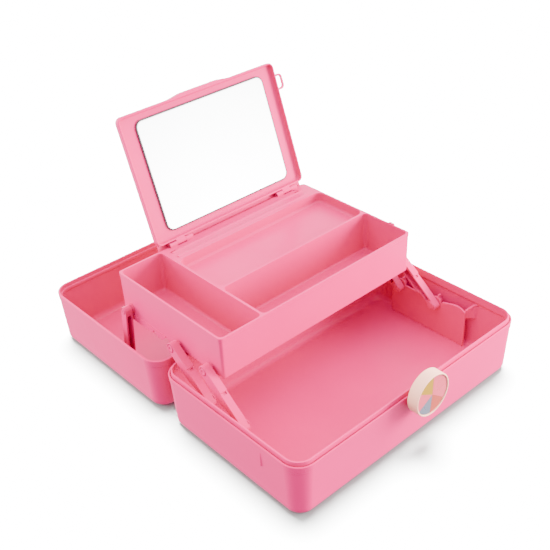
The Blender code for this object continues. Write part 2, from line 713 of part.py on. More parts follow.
def make_handle(materials):
    """Flat U-shaped handle, folded level in its recess."""
    y_pin, z_pin = HANDLE_AXIS
    bm = bmesh.new()
    thick = 3.6
    y_far = y_pin - HANDLE_REACH
    rings = []
    for inset, z in ((1.2, z_pin - thick), (0.0, z_pin - thick + 1.2),
                     (0.0, z_pin + thick - 1.2), (1.2, z_pin + thick)):
        rings.append(tray_ring(inset, z, -HANDLE_HALF + 0.3, HANDLE_HALF - 0.3, y_far,
                               y_pin + thick, 14.0))
    add_loft(bm, rings)
    handle = finish_mesh(bm, "carry_handle", materials["pink"])
    bm = bmesh.new()
    add_pocket(bm, -HANDLE_HALF + HANDLE_BAR, HANDLE_HALF - HANDLE_BAR, y_far + HANDLE_BAR,
               y_pin + 20.0, -4.0, 16.0, 8.0)
    opening = boolean(handle, bm, "DIFFERENCE", "handle_opening")
    bm = bmesh.new()
    add_cylinder(bm, y_pin, z_pin, 1.8 + GAP, -HANDLE_HALF - 2, HANDLE_HALF + 2)
    bore = boolean(handle, bm, "DIFFERENCE", "handle_bore")
    empty = axis("axis_handle", y_pin, z_pin)
    hang(empty, handle, opening, bore)
    for word, side in SIDES.items():
        make_pin("handle_pin_" + word, materials["steel"], y_pin, z_pin, 1.8,
                 side * (HANDLE_HALF - 9.0), side * (HANDLE_HALF + 4.2))


# ---------------------------------------------------------------- assembly

def main():
    for obj in list(bpy.data.objects):
        bpy.data.objects.remove(obj)
    materials = make_materials()
    make_base(materials)
    make_lid(materials)
    make_hinge_pins(materials)
    make_arms(materials)
    make_tray(materials)
    make_mirror(materials)
    make_links(materials)
    make_latch(materials)
    make_handle(materials)
    for obj in bpy.data.objects:
        if obj.parent is None:
            obj.location.y += CENTRE_Y * MM


main()
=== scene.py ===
"""Looks of the clamshell cosmetics case: finely rounded mouldings, the latch with its
colour-block disc, the mirror, procedural plastics, studio floor, light and camera.

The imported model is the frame. Lengths below are in millimetres and start from the
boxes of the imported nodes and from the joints' places.
"""

import json
import math

import bmesh
import bpy
from mathutils import Matrix, Vector


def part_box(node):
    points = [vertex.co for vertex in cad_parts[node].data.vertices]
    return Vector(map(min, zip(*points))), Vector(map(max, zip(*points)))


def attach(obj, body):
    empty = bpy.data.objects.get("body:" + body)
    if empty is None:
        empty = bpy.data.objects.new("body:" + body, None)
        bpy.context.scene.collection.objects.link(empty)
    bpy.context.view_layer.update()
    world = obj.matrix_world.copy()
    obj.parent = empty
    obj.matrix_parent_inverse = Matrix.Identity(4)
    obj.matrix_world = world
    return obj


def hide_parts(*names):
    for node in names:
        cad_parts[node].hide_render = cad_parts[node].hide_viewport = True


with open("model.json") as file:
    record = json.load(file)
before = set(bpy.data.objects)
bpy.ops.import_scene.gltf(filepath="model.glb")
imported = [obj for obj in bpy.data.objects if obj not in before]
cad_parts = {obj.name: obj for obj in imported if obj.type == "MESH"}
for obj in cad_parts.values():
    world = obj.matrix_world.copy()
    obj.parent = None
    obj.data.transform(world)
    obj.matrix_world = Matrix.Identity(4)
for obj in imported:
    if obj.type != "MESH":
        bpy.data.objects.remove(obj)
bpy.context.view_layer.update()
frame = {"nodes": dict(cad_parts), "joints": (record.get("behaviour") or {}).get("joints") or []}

MM = 0.001
SIDES = {"left": -1.0, "right": 1.0}
GAP = 0.3                       # clearance between parts that move

# Y counts from the main hinge
HINGE_Y = next(joint["pos_m"][1] for joint in frame["joints"] if joint["name"] == "lid_hinge")
START = Vector((0.0, HINGE_Y, 0.0)) / MM


def box_mm(node):
    low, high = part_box(node)
    return low / MM - START, high / MM - START


PIVOT = {joint["name"]: Vector(joint["pos_m"]) / MM - START for joint in frame["joints"]}
BASE_HIGH = box_mm("base_shell")[1]
TRAY_LOW = box_mm("tray")[0]
LATCH_LOW, LATCH_HIGH = box_mm("latch_body")
ARM_LOW, ARM_HIGH = box_mm("arm_front_right")
HANDLE_LOW, HANDLE_HIGH = box_mm("carry_handle")

# Half shells
HALF_LENGTH = BASE_HIGH.x
HINGE = PIVOT["lid_hinge"]
HINGE_GAP = 5.0
HALF_DEPTH = 204.5
RIM_Z = HINGE.z - 0.3
CORNER_R = 20.6
FLOOR_R = 15.0
DRAFT = 4.0
BASE_WALL = 3.0
LID_WALL = 2.6
TONGUE_IN = 3.0
TONGUE_OUT = 5.0
TONGUE_H = 4.0
RIM_GROOVE = 2.4
BAND = 8.0                      # height of the raised band under each rim
KNUCKLE_R = 3.6
KNUCKLE_W = 14.0
HINGE_X = 96.0
HINGE_BORE = 1.8
CORNER_STEPS = 14

# End brackets in the base
BRACKET_FRONT = -150.0
BRACKET_BACK = -43.0
BRACKET_T = 2.4
BRACKET_GAP = 0.8               # between an arm and its bracket
BRACKET_EDGE = [(-117.5, 48.6), (-124.0, 50.4), (-132.0, 52.6), (-138.0, 53.6), (-143.0, 53.0)]
EAR_R = 6.4                     # bracket's round ears over the pivots
RIB_Y = (-140.0, -84.0, -45.2)
RIB_T = 2.0
RIB_LOW = 20.0
RIB_HIGH = 41.0
BITE = 1.2                      # how deep a rib or boss runs into a wall

# Swing arms and links
ARM_X0 = ARM_LOW.x
ARM_X1 = ARM_HIGH.x
LINK_R = 4.5
ARM_TOP = 5.6
ARM_DEEP = 7.0
ARM_FOOT = 3.6
ARM_STEP = 1.2
ARM_STEP_Y = 38.0
ARM_NOSE = 3.5
BEND_START = 19.0               # where the slim foot starts to deepen
BEND_END = 27.0
BAR_EDGE = 0.45
PIN_R = 2.4
PIN_BORE = PIN_R + GAP
HEAD_R = 4.4
BASE_PIN_END = 157.2
LINK_PIN_END = 156.7
EYE_R = 5.0                     # ring sunk around each rivet's head
EYE_DEPTH = 1.6
LINK_EYE_R = LINK_R - 0.6
ARM_RIVET_R = 3.9
LINK_RIVET_R = 2.9
FRONT_PIVOT = PIVOT["arm_front_left_pivot"]
REAR_PIVOT = PIVOT["arm_rear_left_pivot"]
TRAY_PIVOT = PIVOT["tray_lift"]
LINK_PIVOT = PIVOT["link_left_pivot"]
LINK_TOP = Vector((0.0, 79.5, 91.0))

# Tray
TRAY_HALF = 137.8
TRAY_FRONT = TRAY_LOW.y
TRAY_BACK = 96.0
TRAY_Z0 = 79.7
TRAY_Z1 = 129.5
TRAY_WALL = 2.0
DIVIDER_X = -81.0
CROSS_Y = -8.0
DIVIDER_HALF = 1.3
CROSS_HALF = 1.2
SHELF_Z = 117.0
LEDGE_Y = 67.0
SKIRT_Z = 75.0                  # underside of the skirt below the tray's end walls
BEADS_Y = (73.0, 84.0)          # raised beads along the rear ledge

# Mirror: S runs up its plane from the hinge
MIRROR_HINGE = PIVOT["mirror_fold"]
MIRROR_TILT = math.radians(71.0)
MIRROR_X0 = -83.0
MIRROR_X1 = 138.0
MIRROR_H = 150.5
MIRROR_T = 8.4
MIRROR_KNUCKLE_R = 2.6
MIRROR_BORE = 1.4
GLASS = (-60.6, 118.8, 14.0, 139.0)
GLASS_R = 8.0
GLASS_T = 1.8
LOOP_S = 125.0                  # pull loop at the mirror's side
LOOP_HALF = 9.5
LOOP_REACH = 12.4
LOOP_BAR = 2.6

# Latch
LATCH_Z = (LATCH_LOW.z + LATCH_HIGH.z) / 2
LATCH_R = (LATCH_HIGH.z - LATCH_LOW.z) / 2
LATCH_FRONT = LATCH_LOW.y
LATCH_BACK = LATCH_HIGH.y
LATCH_RECESS_R = 22.2
LATCH_SEAT = 17.5
LATCH_AXIS = PIVOT["latch_hinge"]
LATCH_BORE = 1.5
LUG_R = 2.5
LUG_X0 = 9.0
LUG_X1 = 12.6
LUG_SLOT_Y = -222.6
CATCH_Z0 = 66.0                 # pocket that takes the keeper
CATCH_Z1 = 83.0
CATCH_HALF = 11.5
KEEPER_HALF = 9.5
KEEPER_Z = 2 * HINGE.z - 81.0
SECTORS = [("inlay_yellow", "yellow", 88.0, 150.0), ("inlay_slate", "slate", 208.0, 264.0),
           ("inlay_coral", "coral", 264.0, 322.0), ("inlay_rose", "rose", 322.0, 448.0),
           ("inlay_rose_2", "rose", 150.0, 208.0)]
SECTOR_GAP = 0.15               # degrees left free at each side of a sector

# Studio: brightness of the surroundings by height (sine of the elevation), how much darker
# they are on the near side (direction, sharpness, depth), a glow in front of the mirror
# (direction, sharpness, strength), two softboxes (place, target, size, power), the floor and
# the light on its paper
SURROUND = [(-1.0, 0.3), (-0.6, 1.6), (-0.02, 7.0), (0.03, 2.6), (1.0, 7.2)]
SHADE = ((-0.652, -0.758, 0.0), 2.0, 0.88)
GLOW = ((0.54, -0.84, 0.0), 40.0, 15.0)
SOFTBOXES = {"left_softbox": ((-0.75, 0.95, 0.32), (-0.15, 0.15, 0.05), 0.6, 30.0),
             "right_softbox": ((0.80, -0.72, 0.30), (0.1, -0.1, 0.06), 0.6, 54.0)}
FLOOR_HALF = 14000.0
FLOOR_DROP = 0.4
PAPER_ANGLE = 34.0
PAPER_POWER = 300.0
PAPER_FROM = (0.20, 0.235, 1.0)

# Carry handle
HANDLE_AXIS = PIVOT["handle_hinge"]
HANDLE_HALF = HANDLE_HIGH.x
HANDLE_T = 3.6                  # half thickness
HANDLE_BAR = 12.0
HANDLE_BORE = 2.1
RECESS_DEPTH = 12.6
RECESS_FRONT = 46.0             # from the handle's axis
RECESS_BACK = 7.0
RECESS_GAP = 1.3

# Camera: yaw, pitch and roll in degrees, its place in metres from the main hinge
CAMERA_TURN = (40.69, 33.39, -3.04)
CAMERA_PLACE = Vector((-0.5506, -0.6417, 0.6609))
CAMERA_LENS = 60.17


# ---------------------------------------------------------------- materials

class Nodes:
    """Short way to wire a node material."""

    def __init__(self, name):
        self.material = bpy.data.materials.new(name)
        self.material.use_nodes = True
        self.tree = self.material.node_tree
        self.shader = self.tree.nodes["Principled BSDF"]
        self.coords = self.tree.nodes.new("ShaderNodeTexCoord").outputs["Object"]

    def link(self, source, target):
        self.tree.links.new(source, target)

    def noise(self, scale, detail=3.0, roughness=0.5):
        node = self.tree.nodes.new("ShaderNodeTexNoise")
        node.inputs["Scale"].default_value = scale
        node.inputs["Detail"].default_value = detail
        node.inputs["Roughness"].default_value = roughness
        self.link(self.coords, node.inputs["Vector"])
        return node.outputs["Fac"]

    def ramp(self, source, stops):
        node = self.tree.nodes.new("ShaderNodeValToRGB")
        ramp = node.color_ramp
        while len(ramp.elements) < len(stops):
            ramp.elements.new(0.5)
        for element, (place, colour) in zip(ramp.elements, stops):
            element.position = place
            element.color = (*colour, 1.0)
        self.link(source, node.inputs["Fac"])
        return node.outputs["Color"]

    def grey_range(self, source, low, high):
        node = self.tree.nodes.new("ShaderNodeMapRange")
        node.inputs["From Min"].default_value = 0.3
        node.inputs["From Max"].default_value = 0.7
        node.inputs["To Min"].default_value = low
        node.inputs["To Max"].default_value = high
        self.link(source, node.inputs["Value"])
        return node.outputs["Result"]

    def bump(self, height, strength, distance):
        node = self.tree.nodes.new("ShaderNodeBump")
        node.inputs["Strength"].default_value = strength
        node.inputs["Distance"].default_value = distance
        self.link(height, node.inputs["Height"])
        self.link(node.outputs["Normal"], self.shader.inputs["Normal"])


def scaled(colour, factor):
    return tuple(min(1.0, c * factor) for c in colour)


def moulded_plastic(name, colour, roughness, grain=900.0, spread=0.03):
    """Moulded plastic: faint flow marks in colour and gloss, and a very fine grain."""
    n = Nodes(name)
    clouds = n.noise(9.0, 2.0)
    shades = [(0.35, scaled(colour, 1.0 - spread)), (0.65, scaled(colour, 1.0 + spread))]
    n.link(n.ramp(clouds, shades), n.shader.inputs["Base Color"])
    smears = n.noise(38.0, 4.0, 0.6)
    n.link(n.grey_range(smears, roughness - 0.035, roughness + 0.045),
           n.shader.inputs["Roughness"])
    n.shader.inputs["IOR"].default_value = 1.47
    n.shader.inputs["Specular IOR Level"].default_value = 0.16
    n.bump(n.noise(grain, 2.0), 0.06, 0.0002)
    return n.material


def brushed_wire(name):
    """Bright steel wire with fine drawing lines along X."""
    n = Nodes(name)
    mapping = n.tree.nodes.new("ShaderNodeMapping")
    mapping.inputs["Scale"].default_value = (0.04, 1.0, 1.0)
    n.link(n.coords, mapping.inputs["Vector"])
    n.coords = mapping.outputs["Vector"]
    lines = n.noise(5200.0, 3.0)
    n.link(n.ramp(lines, [(0.3, (0.42, 0.42, 0.44)), (0.7, (0.68, 0.68, 0.70))]),
           n.shader.inputs["Base Color"])
    n.link(n.grey_range(lines, 0.22, 0.38), n.shader.inputs["Roughness"])
    n.shader.inputs["Metallic"].default_value = 1.0
    return n.material


def silvered_glass(name):
    """Flat mirror with the faintest haze."""
    n = Nodes(name)
    haze = n.noise(14.0, 3.0)
    n.link(n.ramp(haze, [(0.3, (0.93, 0.94, 0.95)), (0.7, (0.97, 0.975, 0.98))]),
           n.shader.inputs["Base Color"])
    n.link(n.grey_range(haze, 0.012, 0.03), n.shader.inputs["Roughness"])
    n.shader.inputs["Metallic"].default_value = 1.0
    return n.material


def dark_edge(name):
    """Dark material for the band round the mirror glass, with a fine speckle."""
    n = Nodes(name)
    speckle = n.noise(700.0, 2.0)
    n.link(n.ramp(speckle, [(0.3, (0.030, 0.020, 0.022)), (0.7, (0.075, 0.050, 0.055))]),
           n.shader.inputs["Base Color"])
    n.shader.inputs["Roughness"].default_value = 0.45
    return n.material


def make_materials():
    pink = (0.60, 0.006, 0.128)
    return {
        "pink": moulded_plastic("case_plastic_fine", pink, 0.33),
        "cream": moulded_plastic("latch_plastic_fine", (0.80, 0.40, 0.29), 0.38, spread=0.02),
        "yellow": moulded_plastic("inlay_mustard", (0.30, 0.16, 0.006), 0.30, spread=0.05),
        "rose": moulded_plastic("inlay_rose", (0.50, 0.06, 0.10), 0.30, spread=0.05),
        "coral": moulded_plastic("inlay_coral", (0.34, 0.05, 0.035), 0.30, spread=0.05),
        "slate": moulded_plastic("inlay_slate", (0.11, 0.115, 0.15), 0.30, spread=0.05),
        "mirror": silvered_glass("mirror_silver_fine"),
        "edge": dark_edge("mirror_edge"),
        "steel": brushed_wire("pin_steel_fine"),
    }


MATERIALS = make_materials()


# ---------------------------------------------------------------- outlines

def arc(cx, cy, radius, start, end, steps):
    """Arc in a plane, angles in degrees."""
    points = []
    for i in range(steps + 1):
        a = math.radians(start + (end - start) * i / steps)
        points.append((cx + radius * math.cos(a), cy + radius * math.sin(a)))
    return points


def rounded(points, steps=5, closed=False):
    """Round each corner (x, y, radius) of a polyline."""
    result = []
    count = len(points)
    for i, (x, y, radius) in enumerate(points):
        ends = not closed and i in (0, count - 1)
        if radius <= 0.0 or ends:
            result.append((x, y))
            continue
        here = Vector((x, y))
        before = Vector(points[i - 1][:2]) - here
        after = Vector(points[(i + 1) % count][:2]) - here
        half = before.angle(after) / 2
        reach = radius / math.tan(half)
        reach = min(reach, before.length * 0.49, after.length * 0.49)
        real = reach * math.tan(half)
        start = here + before.normalized() * reach
        finish = here + after.normalized() * reach
        centre = here + (before.normalized() + after.normalized()).normalized() * (
            real / math.sin(half))
        a0 = math.atan2(start.y - centre.y, start.x - centre.x)
        a1 = math.atan2(finish.y - centre.y, finish.x - centre.x)
        turn = (a1 - a0 + math.pi) % (2 * math.pi) - math.pi
        for k in range(steps + 1):
            a = a0 + turn * k / steps
            result.append((centre.x + real * math.cos(a), centre.y + real * math.sin(a)))
    return result


def rounded_rectangle(x0, x1, y0, y1, radius, steps):
    """Corner-rounded rectangle, counter-clockwise."""
    radius = max(radius, 0.6)
    centres = [(x1 - radius, y1 - radius, 0), (x0 + radius, y1 - radius, 90),
               (x0 + radius, y0 + radius, 180), (x1 - radius, y0 + radius, 270)]
    points = []
    for cx, cy, start in centres:
        points += arc(cx, cy, radius, start, start + 90, steps)
    return points


# ---------------------------------------------------------------- meshes

def skin_between(bm, low, high):
    """Band of quads between two closed rows of vertices."""
    count = len(low)
    for i in range(count):
        j = (i + 1) % count
        bm.faces.new((low[i], low[j], high[j], high[i]))


def loft(bm, rings):
    """Skin closed rings of equal length and cap both ends."""
    rows = [[bm.verts.new(p) for p in ring] for ring in rings]
    for low, high in zip(rows, rows[1:]):
        skin_between(bm, low, high)
    bm.faces.new(rows[0])
    bm.faces.new(rows[-1])


def extrude(bm, points, direction):
    face = bm.faces.new([bm.verts.new(p) for p in points])
    moved = bmesh.ops.extrude_face_region(bm, geom=[face])["geom"]
    verts = [v for v in moved if isinstance(v, bmesh.types.BMVert)]
    bmesh.ops.translate(bm, vec=direction, verts=verts)


def prism_x(bm, outline, x0, x1):
    """Extrude a YZ outline along X."""
    extrude(bm, [(x0, y, z) for y, z in outline], (x1 - x0, 0, 0))


def prism_y(bm, outline, y0, y1):
    """Extrude an XZ outline along Y."""
    extrude(bm, [(x, y0, z) for x, z in outline], (0, y1 - y0, 0))


def box(bm, x0, x1, y0, y1, z0, z1):
    prism_x(bm, [(y0, z0), (y1, z0), (y1, z1), (y0, z1)], x0, x1)


def tray_shape(bm, x0, x1, y0, y1, radius, profile, steps=8):
    """Rectangular body whose sides follow a profile of (inset, height)."""
    rings = []
    for inset, z in profile:
        points = rounded_rectangle(x0 + inset, x1 - inset, y0 + inset, y1 - inset,
                                   radius - inset, steps)
        rings.append([(x, y, z) for x, y in points])
    loft(bm, rings)


def turned(bm, profile, centre, steps=40, along="x"):
    """Solid of revolution: profile of (along, radius), closed at both ends."""
    rings = []
    for offset, radius in profile:
        ring = []
        for i in range(steps):
            a = 2 * math.pi * i / steps
            u, v = radius * math.cos(a), radius * math.sin(a)
            place = {"x": (offset, u, v), "y": (u, offset, v)}[along]
            ring.append(tuple(c + p for c, p in zip(centre, place)))
        rings.append(ring)
    loft(bm, rings)


def to_object(bm, name):
    bmesh.ops.recalc_face_normals(bm, faces=bm.faces)
    bmesh.ops.scale(bm, vec=(MM, MM, MM), verts=bm.verts)
    mesh = bpy.data.meshes.new(name)
    bm.to_mesh(mesh)
    bm.free()
    obj = bpy.data.objects.new(name, mesh)
    bpy.context.scene.collection.objects.link(obj)
    return obj


def bake(obj):
    """Keep the evaluated mesh and drop the modifiers."""
    depsgraph = bpy.context.evaluated_depsgraph_get()
    mesh = bpy.data.meshes.new_from_object(obj.evaluated_get(depsgraph))
    obj.modifiers.clear()
    obj.data = mesh


def combine(obj, bm, operation):
    """Boolean with a helper solid, applied at once."""
    join(obj, to_object(bm, "helper"), operation)


def join(obj, other, operation="UNION"):
    """Boolean with a finished helper object, which is used up."""
    modifier = obj.modifiers.new("combine", "BOOLEAN")
    modifier.operation = operation
    modifier.object = other
    modifier.solver = "EXACT"
    bake(obj)
    bpy.data.objects.remove(other)


def soften(obj, width, segments=2, angle=40.0):
    """Round the remaining sharp edges."""
    modifier = obj.modifiers.new("soften", "BEVEL")
    modifier.width = width * MM
    modifier.segments = segments
    modifier.limit_method = "ANGLE"
    modifier.angle_limit = math.radians(angle)
    modifier.miter_outer = "MITER_ARC"
    bake(obj)


def dress(obj, material, body, replaces=(), sharp=50.0):
    """Shade, paint and seat a finished piece."""
    obj.data.transform(Matrix.Translation(START * MM))
    obj.data.materials.clear()
    obj.data.materials.append(MATERIALS[material])
    obj.data.shade_smooth()
    obj.data.set_sharp_from_angle(angle=math.radians(sharp))
    weighted = obj.modifiers.new("normals", "WEIGHTED_NORMAL")
    weighted.keep_sharp = True
    weighted.weight = 60
    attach(obj, body)
    if replaces:
        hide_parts(*replaces)


def turn_into_place(obj, pivot, angle):
    """Move a mesh made in a joint's own coordinates to its rest pose."""
    obj.data.transform(Matrix.Translation(pivot * MM) @ Matrix.Rotation(angle, 4, "X"))


# ---------------------------------------------------------------- half shells

def draft_at(z):
    return DRAFT * (1.0 - z / RIM_Z)


def end_wall(wall, z):
    return HALF_LENGTH - draft_at(z) - wall


def outer_profile():
    """Outside of a half, from its underside to its rim, with a thin raised band on top."""
    band = RIM_Z - BAND
    return [(DRAFT + FLOOR_R + 2.0, 0.0, 0.0), (DRAFT, 0.0, FLOOR_R),
            (draft_at(band) + 0.5, band, 0.3), (draft_at(band), band + 0.6, 0.3),
            (0.0, RIM_Z, 0.6)]


def base_profile():
    profile = outer_profile()
    profile += [(1.6, RIM_Z, 0.4), (1.8, RIM_Z - RIM_GROOVE, 0.3),
                (TONGUE_IN, RIM_Z - RIM_GROOVE, 0.3), (TONGUE_IN + 0.1, RIM_Z + TONGUE_H, 0.5),
                (TONGUE_OUT - 0.1, RIM_Z + TONGUE_H, 0.5), (TONGUE_OUT, RIM_Z - 5.0, 0.6),
                (draft_at(RIM_Z - 8.0) + BASE_WALL, RIM_Z - 8.0, 1.5),
                (DRAFT + BASE_WALL, BASE_WALL, FLOOR_R - BASE_WALL),
                (DRAFT + FLOOR_R + 2.0, BASE_WALL, 0.0)]
    return rounded(profile, 6)


def lid_profile():
    ledge = RIM_Z - 4.5
    profile = outer_profile()
    profile += [(LID_WALL, RIM_Z, 0.5), (LID_WALL + 0.1, ledge, 0.3), (4.5, ledge - 0.2, 0.5),
                (4.7, ledge - 3.0, 0.6), (draft_at(ledge - 5.0) + LID_WALL, ledge - 5.0, 1.5),
                (DRAFT + LID_WALL, LID_WALL, FLOOR_R - LID_WALL),
                (DRAFT + FLOOR_R + 2.0, LID_WALL, 0.0)]
    return rounded(profile, 6)


def knuckle_outline(side):
    leaf = HINGE_GAP + 1.5
    points = [(-leaf, HINGE.z - KNUCKLE_R)]
    points += arc(0.0, HINGE.z, KNUCKLE_R, -90, 180, 20)
    points.append((-leaf, RIM_Z - GAP))
    return [(-side * y, z) for y, z in points]


def add_knuckles(bm, side):
    half = KNUCKLE_W / 2
    for centre in (-HINGE_X, HINGE_X):
        if side > 0:
            spans = [(centre - half, centre + half)]
        else:
            spans = [(centre - 3 * half - GAP, centre - half - GAP),
                     (centre + half + GAP, centre + 3 * half + GAP)]
        for x0, x1 in spans:
            prism_x(bm, knuckle_outline(side), x0, x1)


def bore_x(bm, y, z, radius, x0, x1, steps=28):
    turned(bm, [(x0, radius), (x1, radius)], (0.0, y, z), steps)


def bore_hinge(bm):
    """Holes for the two main hinge pins."""
    for centre in (-HINGE_X, HINGE_X):
        bore_x(bm, 0.0, HINGE.z, HINGE_BORE, centre - 2 * KNUCKLE_W, centre + 2 * KNUCKLE_W)


def bracket_plate(side, x0, x1):
    """Stand-off plate with round ears over the pivots and a raised front edge."""
    outline = [(BRACKET_FRONT, BASE_WALL), (BRACKET_BACK, BASE_WALL),
               (BRACKET_BACK, FRONT_PIVOT.z - 2.0)]
    for pivot in (REAR_PIVOT, FRONT_PIVOT):
        outline += arc(pivot.y, pivot.z, EAR_R, 0, 180, 16)
    outline += BRACKET_EDGE + [(BRACKET_FRONT, 50.0)]
    bm = bmesh.new()
    prism_x(bm, outline, side * x0, side * x1)
    plate = to_object(bm, "plate")
    soften(plate, 0.5, 2, 50)
    return plate


def bracket_ribs(side, middle, x1):
    """Ribs out to the end wall, and a boss with a small fin behind each pivot."""
    foot = end_wall(BASE_WALL, RIB_LOW) + BITE
    head = end_wall(BASE_WALL, RIB_HIGH) + BITE
    rib = [(side * middle, RIB_LOW), (side * foot, RIB_LOW), (side * head, RIB_HIGH),
           (side * middle, RIB_HIGH)]
    bm = bmesh.new()
    for y in RIB_Y:
        prism_y(bm, rib, y, y + RIB_T)
    for pivot in (FRONT_PIVOT, REAR_PIVOT):
        bore_x(bm, pivot.y, pivot.z, 4.6, side * middle, side * (x1 + 3.4), 32)
        box(bm, side * middle, side * (x1 + 3.0), pivot.y - 2.6, pivot.y - 1.0,
            pivot.z + 5.0, pivot.z + 8.8)
    return bm


def bracket_leaf(side, inner):
    """Raised leaf that runs slantwise from the plate's front edge to the end wall."""
    outer = end_wall(BASE_WALL, 50.0) + 1.0
    outline = rounded([(inner, 42.0, 0), (outer, 40.0, 0), (outer, 63.0, 3.0), (inner, 51.5, 0)],
                      5, closed=True)
    slope = 10.0 / (outer - inner)
    bm = bmesh.new()
    extrude(bm, [(side * x, BRACKET_FRONT + 0.5 - (x - inner) * slope, z) for x, z in outline],
            (side * 2.6, 2.3, 0.0))
    leaf = to_object(bm, "leaf")
    soften(leaf, 0.5, 3, 50)
    return leaf


def end_bracket(side):
    """Bracket that holds the two arm pivots of one end."""
    x0 = ARM_X1 + BRACKET_GAP
    x1 = x0 + BRACKET_T
    middle = (x0 + x1) / 2
    bracket = bracket_plate(side, x0, x1)
    combine(bracket, bracket_ribs(side, middle, x1), "UNION")
    join(bracket, bracket_leaf(side, middle))
    return bracket


def latch_lugs(bm, y0):
    """Two ears on the front wall for the latch pin."""
    outline = [(y0 + 2.0, LATCH_AXIS.z - LUG_R)]
    outline += arc(LATCH_AXIS.y, LATCH_AXIS.z, LUG_R, 270, 90, 16)
    outline.append((y0 + 1.5, LATCH_AXIS.z + LUG_R))
    for side in SIDES.values():
        prism_x(bm, outline, side * LUG_X0, side * LUG_X1)


def make_base():
    y0, y1 = -HINGE_GAP - HALF_DEPTH, -HINGE_GAP
    bm = bmesh.new()
    tray_shape(bm, -HALF_LENGTH, HALF_LENGTH, y0, y1, CORNER_R, base_profile(), CORNER_STEPS)
    base = to_object(bm, "base_moulding")
    bm = bmesh.new()
    add_knuckles(bm, -1)
    latch_lugs(bm, y0)
    combine(base, bm, "UNION")
    for side in SIDES.values():
        join(base, end_bracket(side))
    bm = bmesh.new()
    bore_hinge(bm)
    for side in SIDES.values():
        for pivot in (FRONT_PIVOT, REAR_PIVOT):
            bore_x(bm, pivot.y, pivot.z, PIN_BORE, side * (ARM_X1 - 1), side * (ARM_X1 + 8))
    combine(base, bm, "DIFFERENCE")
    bm = bmesh.new()
    bore_x(bm, LATCH_AXIS.y, LATCH_AXIS.z, LATCH_BORE, -20.0, 20.0)
    combine(base, bm, "DIFFERENCE")
    # shallow seat behind the latch
    bm = bmesh.new()
    seat = rounded([(-LATCH_SEAT, RIM_Z - 9.3, 2.0), (LATCH_SEAT, RIM_Z - 9.3, 2.0),
                    (LATCH_SEAT, RIM_Z + 1.0, 0), (-LATCH_SEAT, RIM_Z + 1.0, 0)], 5, closed=True)
    prism_y(bm, seat, y0 - 3.0, y0 + 1.8)
    combine(base, bm, "DIFFERENCE")
    dress(base, "pink", "base", ["base_shell"])


def recess_limits(margin):
    """X and Y limits of the handle's recess in the lid."""
    half = HANDLE_HALF + RECESS_GAP
    return (-half - margin, half + margin, HANDLE_AXIS.y - RECESS_FRONT - margin,
            HANDLE_AXIS.y + RECESS_BACK + margin)


def lid_bosses(bm, y1):
    """Link bosses on the end walls, and the keeper that the latch catches."""
    wall = end_wall(LID_WALL, LINK_PIVOT.z) + BITE
    for side in SIDES.values():
        bore_x(bm, LINK_PIVOT.y, LINK_PIVOT.z, 5.6, side * (ARM_X1 + BRACKET_GAP), side * wall, 36)
    keeper = rounded([(y1 - 1.5, KEEPER_Z + 5.0, 0), (y1 - 1.5, KEEPER_Z, 0),
                      (y1 + 3.9, KEEPER_Z, 0.6), (y1 + 3.9, KEEPER_Z + 3.0, 0.6)], 4, closed=True)
    prism_x(bm, keeper, -KEEPER_HALF, KEEPER_HALF)


def make_lid():
    y0, y1 = HINGE_GAP, HINGE_GAP + HALF_DEPTH
    bm = bmesh.new()
    tray_shape(bm, -HALF_LENGTH, HALF_LENGTH, y0, y1, CORNER_R, lid_profile(), CORNER_STEPS)
    lid = to_object(bm, "lid_moulding")
    bm = bmesh.new()
    add_knuckles(bm, 1)
    lid_bosses(bm, y1)
    combine(lid, bm, "UNION")
    # handle recess: its walls stand inside the lid
    bm = bmesh.new()
    roof = RECESS_DEPTH + 2.4
    walls = rounded([(0.0, 1.0, 0), (0.0, roof, 2.4), (6.0, roof, 0)], 6)
    tray_shape(bm, *recess_limits(LID_WALL), 6.0, walls, 8)
    combine(lid, bm, "UNION")
    bm = bmesh.new()
    bore_hinge(bm)
    for side in SIDES.values():
        bore_x(bm, LINK_PIVOT.y, LINK_PIVOT.z, PIN_BORE, side * (ARM_X1 - 1), side * 157.0)
    combine(lid, bm, "DIFFERENCE")
    bm = bmesh.new()
    pocket = rounded([(-1.6, -1.6, 0), (-0.4, -0.3, 0.8), (0.5, 1.5, 0.8), (0.5, RECESS_DEPTH, 2.0),
                      (6.0, RECESS_DEPTH, 0)], 5)
    tray_shape(bm, *recess_limits(0.0), 5.0, pocket, 8)
    combine(lid, bm, "DIFFERENCE")
    bm = bmesh.new()
    reach = HANDLE_HALF + 4.6
    bore_x(bm, HANDLE_AXIS.y, HANDLE_AXIS.z, HANDLE_BORE, -reach, reach)
    combine(lid, bm, "DIFFERENCE")
    dress(lid, "pink", "lid", ["lid_shell"])


# ---------------------------------------------------------------- arms, links and pins

def link_outlines(length):
    """Round-ended link and its channel, which opens on +Z."""
    skin = 1.6
    bar = arc(0.0, 0, LINK_R, 90, 270, 20) + arc(length, 0, LINK_R, -90, 90, 20)
    low, high = skin - LINK_R, LINK_R + 1
    near, far = HEAD_R + 1.0, length - HEAD_R - 2.0
    return bar, [(near, low, 1.6), (far, low, 1.6), (far, high, 0), (near, high, 0)]


